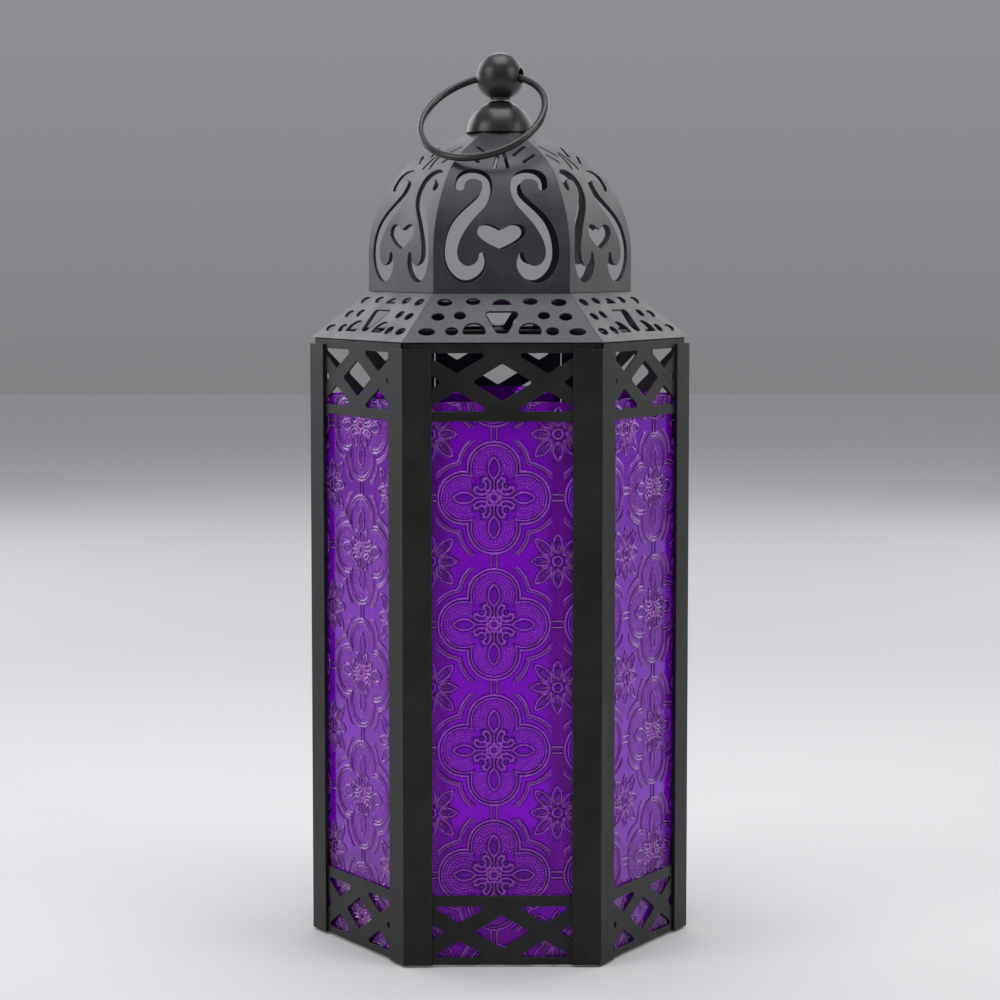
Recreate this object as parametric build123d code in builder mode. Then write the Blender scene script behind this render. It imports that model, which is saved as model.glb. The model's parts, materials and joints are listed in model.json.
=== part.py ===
from build123d import *
import os
from math import cos, hypot, radians, sin, tan

# Hexagonal candle lantern of sheet metal and embossed glass.
#
# The lantern stands on Z = 0 with its axis on Z.  Its front face looks towards -Y and the door is
# in the back face.  All sizes are in millimetres.

os.makedirs("parts", exist_ok=True)

# ------------------------------------------------------------------ driving dimensions
CIRCUMRADIUS = 73.0         # axis to the outer edge of a corner post
APOTHEM = CIRCUMRADIUS * cos(radians(30))
SHEET = 0.8                 # side panels
STRIP = 1.0                 # posts, door, roof and base
RUN = 0.05                  # radial clearance of a shaft that turns in a hole
GAP = 0.3                   # clearance between a moving piece and its neighbour

POST_FLANGE = 10.7          # each leg of a corner post
POST_BOTTOM = 0.8
POST_TOP = 228.7

PANEL_OUT = APOTHEM - STRIP           # outer surface of a side panel
PANEL_IN = PANEL_OUT - SHEET
PANEL_HALF = 34.0
PANEL_BOTTOM = 0.8
PANEL_TOP = 230.6
OPENING_HALF = 26.8                   # window and lattice openings run on behind the posts
WINDOW_BOTTOM = 26.8
WINDOW_TOP = 202.2

BAND_NODE_TOP = 16.6                  # crossing of the strips, from the face's middle
BAND_NODE_BOTTOM = 15.8
BAND_TOP = (205.9, 227.1)             # lower and upper edge of the pierced band
BAND_BOTTOM = (3.6, 22.8)
LATTICE_ANGLE = 31.0
LATTICE_STRIP = 5.5
LATTICE_ROUND = 0.9

GLASS = 3.0
GLASS_HALF = 31.0
GLASS_BOTTOM = 1.2
GLASS_TOP = 209.2

SKIRT_BOTTOM = 231.0                  # lower edge of the sloping roof skirt
DOME_BOTTOM = 248.5
DOME_TOP = 308.8
SKIRT_APOTHEM = 63.05
DOME_APOTHEM = 43.65
DOME_WALL_TOP = 262.0                 # the dome's wall is upright up to here
DOME_SHOULDER = ((42.2, 274.7), (37.4, 287.1), (31.0, 296.3), (22.9, 302.4))
CAP_APOTHEM = 11.2                    # where the gores end under the finial

DOOR_HALF = 25.4
DOOR_BOTTOM = 2.0
DOOR_TOP = 228.7
DOOR_OPENING_HALF = 20.4
DOOR_GLASS_HALF = 23.0

HINGE_RADIUS = 1.6
HINGE_PIN_RADIUS = 0.75
HINGE_LENGTH = 18.0
HINGE_HEIGHTS = (46.0, 184.0)
HINGE_X = 25.6
HINGE_Y = APOTHEM + HINGE_RADIUS

LATCH_X = -31.0
LATCH_Z = 115.0

BALL_RADIUS = 9.15
BALL_Z = 330.2
BALL_HOLE_RADIUS = 2.9
RING_RADIUS = 24.15                   # centreline of the carrying ring
RING_WIRE = 1.4
RING_AZIMUTH = -21.9                  # direction of the hole through the ball
RING_DROOP = 41.3                     # how far the ring hangs below the horizontal
RING_SHIFT = 0.4                      # the bent wire sits this far off the hole's middle

FACES = {"front": -90, "right_front": -30, "right_back": 30, "left_back": 150, "left_front": 210}
BACK = 90
CORNERS = {"front_left": -120, "front_right": -60, "right": 0, "back_right": 60, "back_left": 120,
           "left": 180}


# ------------------------------------------------------------------ shared helpers
def save(builder, name):
    """Label one finished piece and write it."""
    builder.part.label = name
    export_step(builder.part, f"parts/{name}.step")


def face_plane(angle, distance):
    """Upright plane of one face: local x runs along the face, local y is up, the normal is out."""
    a = radians(angle)
    origin = (distance * cos(a), distance * sin(a), 0)
    return Plane(origin=origin, x_dir=(-sin(a), cos(a), 0), z_dir=(cos(a), sin(a), 0))


def section_plane(angle):
    """Upright plane through the axis: local x runs outward at the angle, local y is up."""
    a = radians(angle)
    return Plane(origin=(0, 0, 0), x_dir=(cos(a), sin(a), 0), z_dir=(sin(a), -cos(a), 0))


def flat_plane(angle, height):
    """Level plane with its local x turned outward to the angle."""
    a = radians(angle)
    return Plane(origin=(0, 0, height), x_dir=(cos(a), sin(a), 0), z_dir=(0, 0, 1))


def keep_sector(angle, low, high):
    """Mitre the current part to its sixth of the hexagon, between two heights."""
    reach = 2 * CIRCUMRADIUS
    side = reach * tan(radians(30))
    with BuildSketch(flat_plane(angle, low)) as sector:
        with BuildLine():
            Polyline((0, 0), (reach, -side), (reach, side), close=True)
        make_face()
    extrude(sector.sketch, amount=high - low, mode=Mode.INTERSECT)


def hexagon(apothem):
    """Regular hexagon with flats towards +Y and -Y, in the current sketch."""
    RegularPolygon(radius=apothem, side_count=6, major_radius=False)


def upright_rectangle(half_width, bottom, top, mode=Mode.ADD):
    """Rectangle about the face's middle line, between two heights."""
    with Locations((0, (bottom + top) / 2)):
        Rectangle(2 * half_width, top - bottom, mode=mode)


def lattice(node, band, half_width):
    """Openings of a pierced band: what crossing diagonal strips leave open, with soft corners."""
    middle = (band[0] + band[1]) / 2
    with BuildSketch() as openings:
        upright_rectangle(half_width, band[0], band[1])
        for side in (-1, 1):
            for lean in (-1, 1):
                with Locations(Location((side * node, middle, 0), (0, 0, lean * LATTICE_ANGLE))):
                    Rectangle(4 * half_width, LATTICE_STRIP, mode=Mode.SUBTRACT)
    with BuildSketch() as softened:
        for opening in openings.faces():
            inside = offset(opening, amount=-LATTICE_ROUND, mode=Mode.PRIVATE)
            add(offset(inside, amount=LATTICE_ROUND, kind=Kind.ARC, mode=Mode.PRIVATE))
    return softened.sketch


def panel_sketch(half_width, bottom, top, opening_half):
    """Face of a panel with its window and the pierced band above and below it."""
    with BuildSketch() as outline:
        upright_rectangle(half_width, bottom, top)
        with Locations((0, (WINDOW_BOTTOM + WINDOW_TOP) / 2)):
            RectangleRounded(2 * opening_half, WINDOW_TOP - WINDOW_BOTTOM, 1.0, mode=Mode.SUBTRACT)
        add(lattice(BAND_NODE_TOP, BAND_TOP, opening_half), mode=Mode.SUBTRACT)
        add(lattice(BAND_NODE_BOTTOM, BAND_BOTTOM, opening_half), mode=Mode.SUBTRACT)
    return outline.sketch


# ------------------------------------------------------------------ body
def corner_post(name, angle):
    """Angle strip folded to 120 degrees that covers the corner of two faces."""
    along = (-sin(radians(30)) * POST_FLANGE, cos(radians(30)) * POST_FLANGE)
    inward = (-cos(radians(30)) * STRIP, -sin(radians(30)) * STRIP)
    tip = (CIRCUMRADIUS + along[0], along[1])
    tip_in = (tip[0] + inward[0], tip[1] + inward[1])
    fold_in = CIRCUMRADIUS - STRIP / cos(radians(30))
    with BuildPart() as post:
        with BuildSketch(flat_plane(angle, POST_BOTTOM)):
            with BuildLine():
                Polyline((CIRCUMRADIUS, 0), tip, tip_in, (fold_in, 0), (tip_in[0], -tip_in[1]),
                         (tip[0], -tip[1]), close=True)
            make_face()
        extrude(amount=POST_TOP - POST_BOTTOM)
        upright = post.edges().filter_by(Axis.Z)
        fold = upright.sort_by(lambda e: hypot(e.center().X, e.center().Y))[-1]
        fillet(fold, STRIP / 2)
    save(post, name)


def side_panel(name, angle):
    """Fixed panel behind the post flanges, with its window and two pierced bands."""
    with BuildPart() as panel:
        with BuildSketch(face_plane(angle, PANEL_IN)):
            add(panel_sketch(PANEL_HALF, PANEL_BOTTOM, PANEL_TOP, OPENING_HALF))
        extrude(amount=SHEET)
    save(panel, name)


def glass_pane(name, angle, outer, half_width, bottom):
    """Pane of embossed glass behind a panel."""
    with BuildPart() as pane:
        with BuildSketch(face_plane(angle, outer - GLASS)):
            upright_rectangle(half_width, bottom, GLASS_TOP)
        extrude(amount=GLASS)
    save(pane, name)


TAB_HEIGHT = 10.0
TAB_HEIGHTS = (32.0, 196.0)
TAB_THICK = 0.8
TAB_LIP = 3.4
TAB_PLAY = 0.2


def glass_tab(angle, side, edge, outer, height):
    """One bent tab beside a pane's edge, with its lip over the pane's inner face."""
    near = edge + TAB_PLAY
    far = near + TAB_THICK
    lip = far - TAB_LIP
    back = outer - GLASS - TAB_THICK
    with BuildSketch(flat_plane(angle, height - TAB_HEIGHT / 2)) as bent:
        with BuildLine():
            Polyline((outer, side * near), (outer, side * far), (back, side * far),
                     (back, side * lip), (back + TAB_THICK, side * lip),
                     (back + TAB_THICK, side * near), close=True)
        make_face()
    extrude(bent.sketch, amount=TAB_HEIGHT)


def glass_tabs(name, angles, edge, outer):
    """All bent tabs that hold the panes of the given faces."""
    with BuildPart() as tabs:
        for angle in angles:
            for side in (-1, 1):
                for height in TAB_HEIGHTS:
                    glass_tab(angle, side, edge, outer, height)
    save(tabs, name)


TRAY_RIM_OUT = 58.3
TRAY_RIM_TOP = 7.0
CANDLE_RIVET_RADIUS = 1.5
CANDLE_RIVET_HEAD = 2.6                # wide end of the rivet, flush in the plate
PLATE_FLOOR_TOP = STRIP + SHEET


def base_tray():
    """Flat hexagonal floor with an upturned rim behind the panes."""
    with BuildPart() as tray:
        with BuildSketch():
            hexagon(PANEL_IN)
        extrude(amount=STRIP)
        with BuildSketch(Plane.XY.offset(STRIP)) as rim:
            hexagon(TRAY_RIM_OUT)
            offset(amount=-STRIP, kind=Kind.INTERSECTION, mode=Mode.SUBTRACT)
        extrude(amount=TRAY_RIM_TOP - STRIP)
        with Locations((0, 0, STRIP)):
            Hole(CANDLE_RIVET_RADIUS)
    save(tray, "base_tray")


def candle_plate():
    """Spun round dish that holds the candle, on the middle of the floor."""
    floor_radius, rim_radius, rim_top = 30.0, 34.0, 8.0
    with BuildPart() as plate:
        with BuildSketch(Plane.XZ):
            with BuildLine():
                Polyline((CANDLE_RIVET_RADIUS, STRIP), (floor_radius, STRIP), (rim_radius, rim_top),
                         (rim_radius - SHEET, rim_top), (floor_radius - SHEET, PLATE_FLOOR_TOP),
                         (CANDLE_RIVET_HEAD, PLATE_FLOOR_TOP), close=True)
            make_face()
        revolve(axis=Axis.Z)
    save(plate, "candle_plate")


def candle_plate_rivet():
    """Countersunk rivet, flush with the seat, that joins the candle plate to the floor."""
    with BuildPart() as rivet:
        with BuildSketch(Plane.XZ):
            with BuildLine():
                Polyline((0, 0), (CANDLE_RIVET_RADIUS, 0), (CANDLE_RIVET_RADIUS, STRIP),
                         (CANDLE_RIVET_HEAD, PLATE_FLOOR_TOP), (0, PLATE_FLOOR_TOP), close=True)
            make_face()
        revolve(axis=Axis.Z)
    save(rivet, "candle_plate_rivet")


TOP_FRAME_BOTTOM = 228.0
TOP_FRAME_INNER = 53.6
ROOF_RIVET_RADIUS = 1.1
ROOF_RIVET_APOTHEM = 57.0


def top_frame():
    """Hexagonal angle ring that ties the panels together and carries the roof."""
    with BuildPart() as ring:
        with BuildSketch(Plane.XY.offset(TOP_FRAME_BOTTOM)):
            hexagon(PANEL_IN)
            offset(amount=-STRIP, kind=Kind.INTERSECTION, mode=Mode.SUBTRACT)
        extrude(amount=SKIRT_BOTTOM - STRIP - TOP_FRAME_BOTTOM)
        with BuildSketch(Plane.XY.offset(SKIRT_BOTTOM - STRIP)):
            hexagon(PANEL_IN)
            offset(amount=TOP_FRAME_INNER - PANEL_IN, kind=Kind.INTERSECTION, mode=Mode.SUBTRACT)
            with PolarLocations(ROOF_RIVET_APOTHEM, len(CORNERS), start_angle=30):
                Circle(ROOF_RIVET_RADIUS, mode=Mode.SUBTRACT)
        extrude(amount=STRIP)
    save(ring, "top_frame")


def roof_rivets():
    """Rivets through the roof's hem and the top frame, one to a face."""
    head_radius, head_height = 2.2, 0.9
    with BuildPart() as rivets:
        for low, high, radius in (
            (SKIRT_BOTTOM - STRIP - head_height, SKIRT_BOTTOM - STRIP, head_radius),
            (SKIRT_BOTTOM - STRIP, SKIRT_BOTTOM + STRIP, ROOF_RIVET_RADIUS),
            (SKIRT_BOTTOM + STRIP, SKIRT_BOTTOM + STRIP + head_height, head_radius),
        ):
            with BuildSketch(Plane.XY.offset(low)):
                with PolarLocations(ROOF_RIVET_APOTHEM, len(CORNERS), start_angle=30):
                    Circle(radius)
            extrude(amount=high - low)
    save(rivets, "roof_rivets")


# ------------------------------------------------------------------ roof skirt
SKIRT_RISE = DOME_BOTTOM - SKIRT_BOTTOM
SKIRT_RUN = SKIRT_APOTHEM - DOME_APOTHEM
SKIRT_SLANT = hypot(SKIRT_RISE, SKIRT_RUN)
HEM_INNER = 54.4
HEM_OUTER = 61.4
SKIRT_ROUND_HOLES = (       # middle along the face, height up the slope, width, height
    (21.0, 21.3, 5.6, 3.8), (10.5, 21.8, 5.4, 3.5), (23.4, 13.6, 4.8, 3.9), (15.4, 14.3, 4.4, 4.0),
    (27.5, 5.7, 6.2, 3.7), (18.4, 6.0, 4.8, 4.2),
)
SKIRT_ARCH = (10.2, 4.4, 7.6, 6.0)    # middle, foot, width and height of an arched hole
SKIRT_MOON = (20.0, 7.2, 3.0)         # foot, width and height of the half-moon
SKIRT_KEYSTONE = (4.8, 16.6, 2.0, 6.8)    # foot, head, half-width at the foot and at the head


def skirt_plane(angle):
    """Plane of one sloping facet: local x runs along the face, local y climbs the slope."""
    a = radians(angle)
    rise, run = SKIRT_RISE / SKIRT_SLANT, SKIRT_RUN / SKIRT_SLANT
    origin = (SKIRT_APOTHEM * cos(a), SKIRT_APOTHEM * sin(a), SKIRT_BOTTOM)
    return Plane(origin=origin, x_dir=(-sin(a), cos(a), 0), z_dir=(rise * cos(a), rise * sin(a), run))


def skirt_holes():
    """Pierced floral pattern of one facet."""
    arch_x, arch_foot, arch_width, arch_height = SKIRT_ARCH
    moon_foot, moon_width, moon_height = SKIRT_MOON
    foot, head, foot_half, head_half = SKIRT_KEYSTONE
    with BuildSketch() as holes:
        for along, up, width, height in SKIRT_ROUND_HOLES:
            with Locations((-along, up), (along, up)):
                Ellipse(width / 2, height / 2)
        for side in (-1, 1):
            with BuildLine():
                middle = side * arch_x
                foot_left = (middle - arch_width / 2, arch_foot)
                foot_right = (middle + arch_width / 2, arch_foot)
                Line(foot_left, foot_right)
                ThreePointArc(foot_right, (middle, arch_foot + arch_height), foot_left)
            make_face()
        with BuildLine():
            Line((-moon_width / 2, moon_foot), (moon_width / 2, moon_foot))
            ThreePointArc((moon_width / 2, moon_foot), (0, moon_foot + moon_height),
                          (-moon_width / 2, moon_foot))
        make_face()
    with BuildSketch() as keystone:
        with BuildLine():
            Polyline((-foot_half, foot), (foot_half, foot), (head_half, head), (-head_half, head),
                     close=True)
        make_face()
        fillet(keystone.vertices(), foot_half * 0.8)
    return holes.sketch, keystone.sketch


def skirt_facet(name, angle, openings):
    """One pierced facet of the sloping roof skirt, with a hem turned in at its foot."""
    low_half = SKIRT_APOTHEM * tan(radians(30))
    high_half = DOME_APOTHEM * tan(radians(30))
    with BuildPart() as facet:
        with BuildSketch(skirt_plane(angle)):
            with BuildLine():
                Polyline((-low_half, 0), (low_half, 0), (high_half, SKIRT_SLANT),
                         (-high_half, SKIRT_SLANT), close=True)
            make_face()
        extrude(amount=-STRIP)
        with BuildSketch(Plane.XY.offset(SKIRT_BOTTOM)):
            hexagon(HEM_OUTER)
            offset(amount=HEM_INNER - HEM_OUTER, kind=Kind.INTERSECTION, mode=Mode.SUBTRACT)
            with PolarLocations(ROOF_RIVET_APOTHEM, len(CORNERS), start_angle=30):
                Circle(ROOF_RIVET_RADIUS, mode=Mode.SUBTRACT)
        extrude(amount=STRIP)
        keep_sector(angle, SKIRT_BOTTOM, DOME_BOTTOM)
        with BuildSketch(skirt_plane(angle).offset(STRIP)):
            for opening in openings:
                add(opening)
        extrude(amount=-3 * STRIP, mode=Mode.SUBTRACT)
    save(facet, name)


# ------------------------------------------------------------------ dome
# Half of a gore's pattern, seen from in front.  Each scroll is a ribbon that swells and tapers
# along its spine: distance from the middle line, height, half-width.
SCROLL_SPINE = (
    (15.3, 288.1, 1.75), (14.0, 291.4, 1.9), (9.9, 292.5, 1.85), (6.0, 290.7, 1.85),
    (5.4, 286.3, 1.9), (8.0, 281.8, 2.3), (12.3, 277.6, 2.6), (16.3, 272.4, 2.8), (18.6, 266.2, 2.5),
    (17.9, 259.2, 2.7), (13.2, 255.4, 3.2), (8.5, 257.6, 2.4), (7.3, 262.4, 1.1),
)
HEART_HALF = ((2.6, 273.2), (5.6, 273.9), (8.4, 272.8), (8.9, 270.6), (6.9, 268.2), (3.2, 266.0))
HEART_NOTCH = 271.8
HEART_POINT = 264.6
# Slits in the flatter top, seen from above: both ends as (distance along, distance out), width
TOP_SLITS = (((2.4, 25.6), (0.9, 32.0), 1.2), ((4.8, 22.0), (8.6, 27.0), 1.3),
             ((8.6, 27.0), (12.2, 30.0), 1.2))


def scroll(side):
    """One S-shaped opening, drawn as a smooth closed outline on both sides of its spine."""
    near, far = [], []
    last = len(SCROLL_SPINE) - 1
    for i, (x, z, half) in enumerate(SCROLL_SPINE):
        before, after = SCROLL_SPINE[max(i - 1, 0)], SCROLL_SPINE[min(i + 1, last)]
        run, rise = after[0] - before[0], after[1] - before[1]
        length = hypot(run, rise)
        shift = (-rise / length * half, run / length * half)
        near.append((side * (x + shift[0]), z + shift[1]))
        far.append((side * (x - shift[0]), z - shift[1]))
    start, end = SCROLL_SPINE[0], SCROLL_SPINE[last]
    start_tip = (side * (start[0] + 0.2), start[1] - start[2])
    end_tip = (side * (end[0] + 0.2), end[1] + end[2])
    with BuildSketch() as ribbon:
        with BuildLine():
            Spline(*near)
            ThreePointArc(near[-1], end_tip, far[-1])
            Spline(*far[::-1])
            ThreePointArc(far[0], start_tip, near[0])
        make_face()
    return ribbon.sketch


def heart():
    """Winged opening between the scrolls."""
    right = [(0, HEART_NOTCH), *HEART_HALF, (0, HEART_POINT)]
    left = [(-x, z) for x, z in right]
    with BuildSketch() as outline:
        with BuildLine():
            Spline(*right)
            Spline(*left)
        make_face()
    return outline.sketch


def top_slits():
    """Narrow slits near the top of a gore, drawn in its own plan view."""
    with BuildSketch() as slits:
        for start, end, width in TOP_SLITS:
            for side in (-1, 1):
                middle = ((start[1] + end[1]) / 2, side * (start[0] + end[0]) / 2)
                run, across = end[1] - start[1], side * (end[0] - start[0])
                lean = Vector(1, 0, 0).get_signed_angle(Vector(run, across, 0))
                with Locations(Location((*middle, 0), (0, 0, lean))):
                    SlotOverall(hypot(run, across) + width, width)
    return slits.sketch


def inside_of(curve, along):
    """Point one sheet's thickness inside a profile curve, at a fraction of its length."""
    return curve.position_at(along) + curve.tangent_at(along).rotate(Axis.Z, 90) * STRIP


def dome_gore(name, angle, patterns, slits):
    """One sixth of the dome: a pressed and pierced gore mitred to its neighbours."""
    half = CIRCUMRADIUS / 2
    crown_slope = (CAP_APOTHEM - DOME_SHOULDER[-1][0], DOME_TOP - DOME_SHOULDER[-1][1])
    with BuildPart() as gore:
        with BuildSketch(section_plane(angle)):
            with BuildLine():
                outer = Spline((DOME_APOTHEM, DOME_WALL_TOP), *DOME_SHOULDER,
                               (CAP_APOTHEM, DOME_TOP), tangents=((0, 1), crown_slope))
                inner = Spline(*(inside_of(outer, step / 5) for step in range(6)),
                               tangents=(outer.tangent_at(0), outer.tangent_at(1)))
                Polyline(outer @ 0, (DOME_APOTHEM, DOME_BOTTOM),
                         (DOME_APOTHEM - STRIP, DOME_BOTTOM), inner @ 0)
                Line(outer @ 1, inner @ 1)
            make_face()
        extrude(amount=half, both=True)
        keep_sector(angle, DOME_BOTTOM - STRIP, DOME_TOP + STRIP)
        with BuildSketch(face_plane(angle, DOME_APOTHEM + STRIP)):
            for pattern in patterns:
                add(pattern)
        extrude(amount=-DOME_APOTHEM, mode=Mode.SUBTRACT)
        with BuildSketch(flat_plane(angle, DOME_TOP)):
            add(slits)
        extrude(amount=DOME_WALL_TOP - DOME_TOP, mode=Mode.SUBTRACT)
    save(gore, name)


# ------------------------------------------------------------------ finial
CUP_RADIUS = 13.0
CUP_TOP = 321.4
COLLAR_RADIUS = 4.3
COLLAR_TOP = 323.0
STUD_RADIUS = 2.0
STUD_BOTTOM = 299.0
STUD_TOP = 326.6
WASHER_RADIUS = 11.0
WASHER_TOP = 306.8
WASHER_THICK = 1.2
NUT_HEIGHT = 3.2
NUT_FLATS = 7.0


def finial_cup():
    """Spun hollow cup turned upside down over the dome's top."""
    height = CUP_TOP - DOME_TOP
    with BuildPart() as cup:
        with BuildSketch(Plane.XZ):
            with BuildLine():
                outer = EllipticalCenterArc((0, DOME_TOP), CUP_RADIUS, height, arc_size=90)
                inner = EllipticalCenterArc((0, DOME_TOP), CUP_RADIUS - STRIP, height - STRIP,
                                            arc_size=90)
                Line(outer @ 0, inner @ 0)
                Line(outer @ 1, inner @ 1)
            make_face()
        revolve(axis=Axis.Z)
        with Locations((0, 0, CUP_TOP)):
            Hole(STUD_RADIUS + RUN)
    save(cup, "finial_cup")


def finial_collar():
    """Small turned collar between the cup and the ball."""
    with BuildPart() as collar:
        with BuildSketch(Plane.XZ):
            with Locations((STUD_RADIUS + RUN, CUP_TOP)):
                Rectangle(COLLAR_RADIUS - STUD_RADIUS - RUN, COLLAR_TOP - CUP_TOP,
                          align=(Align.MIN, Align.MIN))
            with Locations((0, BALL_Z)):
                Circle(BALL_RADIUS, mode=Mode.SUBTRACT)
        revolve(axis=Axis.Z)
    save(collar, "finial_collar")


def finial_ball():
    """Turned ball with a cross hole for the carrying ring and a blind hole for the stud."""
    azimuth = radians(RING_AZIMUTH)
    with BuildPart() as ball:
        with Locations((0, 0, BALL_Z)):
            Sphere(BALL_RADIUS)
        with BuildSketch(Plane(origin=(0, 0, BALL_Z), z_dir=(cos(azimuth), sin(azimuth), 0))):
            Circle(BALL_HOLE_RADIUS)
        extrude(amount=BALL_RADIUS, both=True, mode=Mode.SUBTRACT)
        with BuildSketch(Plane.XY.offset(STUD_TOP)):
            Circle(STUD_RADIUS)
        extrude(amount=BALL_Z - BALL_RADIUS - STUD_TOP, mode=Mode.SUBTRACT)
    save(ball, "finial_ball")


def finial_stud():
    """Threaded stud that clamps the finial to the dome, shown without its thread."""
    with BuildPart() as stud:
        with BuildSketch(Plane.XY.offset(STUD_BOTTOM)):
            Circle(STUD_RADIUS)
        extrude(amount=STUD_TOP - STUD_BOTTOM)
        chamfer(stud.faces().sort_by(Axis.Z)[0].edges(), STUD_RADIUS / 4)
    save(stud, "finial_stud")


def finial_washer():
    """Wide washer that bears on the inside of the gores."""
    with BuildPart() as washer:
        with BuildSketch(Plane.XY.offset(WASHER_TOP - WASHER_THICK)):
            Circle(WASHER_RADIUS)
            Circle(STUD_RADIUS + RUN, mode=Mode.SUBTRACT)
        extrude(amount=WASHER_THICK)
    save(washer, "finial_washer")


def finial_nut():
    """Hexagon nut under the washer."""
    with BuildPart() as nut:
        with BuildSketch(Plane.XY.offset(WASHER_TOP - WASHER_THICK - NUT_HEIGHT)):
            hexagon(NUT_FLATS / 2)
            Circle(STUD_RADIUS, mode=Mode.SUBTRACT)
        extrude(amount=NUT_HEIGHT)
    save(nut, "finial_nut")


def carry_ring():
    """Wire ring through the ball, leaning down over the front of the dome."""
    azimuth, droop = radians(RING_AZIMUTH), radians(RING_DROOP)
    across = Vector(cos(azimuth), sin(azimuth), 0)
    down = Vector(sin(azimuth) * cos(droop), -cos(azimuth) * cos(droop), -sin(droop))
    centre = Vector(0, 0, BALL_Z) + down * (RING_RADIUS - RING_SHIFT)
    with BuildPart(Plane(origin=centre, x_dir=across, z_dir=across.cross(down))) as ring:
        Torus(RING_RADIUS, RING_WIRE)
    save(ring, "carry_ring")


# ------------------------------------------------------------------ door
def door_panel():
    """Hinged back panel, flush between the post flanges."""
    with BuildPart() as door:
        with BuildSketch(face_plane(BACK, PANEL_OUT)):
            add(panel_sketch(DOOR_HALF, DOOR_BOTTOM, DOOR_TOP, DOOR_OPENING_HALF))
        extrude(amount=STRIP)
    save(door, "door_panel")


def door_header():
    """Fixed strip under the roof, just behind the door's upper edge."""
    with BuildPart() as header:
        with BuildSketch(face_plane(BACK, PANEL_IN)):
            upright_rectangle(PANEL_HALF, TOP_FRAME_BOTTOM, PANEL_TOP)
        extrude(amount=SHEET - GAP / 2)
    save(header, "door_header")


STOP_HEIGHTS = (62.0, 168.0)
STOP_HEIGHT = 10.0
STOP_REACH = 24.7
STOP_FOOT = 31.0
STOP_STEP = 26.4


def door_stops():
    """Two bent stops behind the latch-side post, which the closing door's edge meets."""
    door_in = PANEL_OUT
    with BuildPart() as stops:
        for height in STOP_HEIGHTS:
            with BuildSketch(Plane.XY.offset(height - STOP_HEIGHT / 2)):
                with BuildLine():
                    low = door_in - SHEET - GAP / 2
                    Polyline((-STOP_FOOT, door_in), (-STOP_STEP, door_in),
                             (-STOP_STEP, door_in - GAP / 2), (-STOP_REACH, door_in - GAP / 2),
                             (-STOP_REACH, low), (-STOP_FOOT, low), close=True)
                make_face()
            extrude(amount=STOP_HEIGHT)
    save(stops, "door_stops")


KNOB_X = -22.9
KNOB_Z = 98.0


def door_knob():
    """Small turned pull knob near the door's free edge."""
    neck_radius, neck_length, head_radius, head_length = 1.6, 2.4, 2.4, 3.4
    with BuildPart() as knob:
        with BuildSketch(Plane(origin=(KNOB_X, APOTHEM, KNOB_Z), x_dir=(1, 0, 0), z_dir=(0, 1, 0))):
            Circle(neck_radius)
        extrude(amount=neck_length)
        with BuildSketch(Plane(origin=(KNOB_X, APOTHEM + neck_length, KNOB_Z), x_dir=(1, 0, 0),
                               z_dir=(0, 1, 0))):
            Circle(head_radius)
        extrude(amount=head_length)
        fillet(knob.faces().sort_by(Axis.Y)[-1].edges(), head_radius / 2)
    save(knob, "door_knob")


# ------------------------------------------------------------------ hinges
LEAF = 0.8
KNUCKLE = HINGE_LENGTH / 3
KNUCKLE_PLAY = 0.15
FRAME_LEAF_EDGE = 34.6
DOOR_LEAF_EDGE = 20.9
HINGE_RIVET_RADIUS = 0.6
HINGE_RIVET_HEAD = 1.1
HINGE_RIVET_SPACING = 10.0


def knuckle(low, high):
    """One rolled knuckle about the hinge axis."""
    with BuildSketch(Plane.XY.offset(low)) as barrel:
        with Locations((HINGE_X, HINGE_Y)):
            Circle(HINGE_RADIUS)
    extrude(barrel.sketch, amount=high - low)


def leaf_plate(edge, low, high):
    """Flat of a leaf on the outer surface, from the hinge axis to its outer edge."""
    left, right = min(edge, HINGE_X), max(edge, HINGE_X)
    with BuildSketch(Plane.XY.offset(low)) as plate:
        with Locations((left, APOTHEM)):
            Rectangle(right - left, LEAF, align=(Align.MIN, Align.MIN))
    extrude(plate.sketch, amount=high - low)


def cut_knuckle_room(low, high):
    """Room in a leaf for the other leaf's knuckle."""
    room = 2 * (HINGE_RADIUS + GAP)
    with BuildSketch(Plane.XY.offset(low)) as notch:
        with Locations((HINGE_X, HINGE_Y)):
            Rectangle(room, room)
    extrude(notch.sketch, amount=high - low, mode=Mode.SUBTRACT)


def bore_pin_hole(height, radius):
    """Pin hole through a leaf's knuckles."""
    with BuildSketch(Plane.XY.offset(height - HINGE_LENGTH)) as bore:
        with Locations((HINGE_X, HINGE_Y)):
            Circle(radius)
    extrude(bore.sketch, amount=2 * HINGE_LENGTH, mode=Mode.SUBTRACT)


def hinge_frame_leaf(name, height):
    """Fixed leaf with the two outer knuckles."""
    low, high = height - HINGE_LENGTH / 2, height + HINGE_LENGTH / 2
    with BuildPart() as leaf:
        leaf_plate(FRAME_LEAF_EDGE, low, high)
        knuckle(low, high)
        cut_knuckle_room(low + KNUCKLE, high - KNUCKLE)
        bore_pin_hole(height, HINGE_PIN_RADIUS)
    save(leaf, name)


def hinge_door_leaf(name, height):
    """Moving leaf with the middle knuckle."""
    low, high = height - HINGE_LENGTH / 2, height + HINGE_LENGTH / 2
    inner_low, inner_high = low + KNUCKLE + KNUCKLE_PLAY, high - KNUCKLE - KNUCKLE_PLAY
    with BuildPart() as leaf:
        leaf_plate(DOOR_LEAF_EDGE, low, high)
        knuckle(inner_low, inner_high)
        cut_knuckle_room(low, inner_low)
        cut_knuckle_room(inner_high, high)
        bore_pin_hole(height, HINGE_PIN_RADIUS + RUN)
    save(leaf, name)


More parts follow.
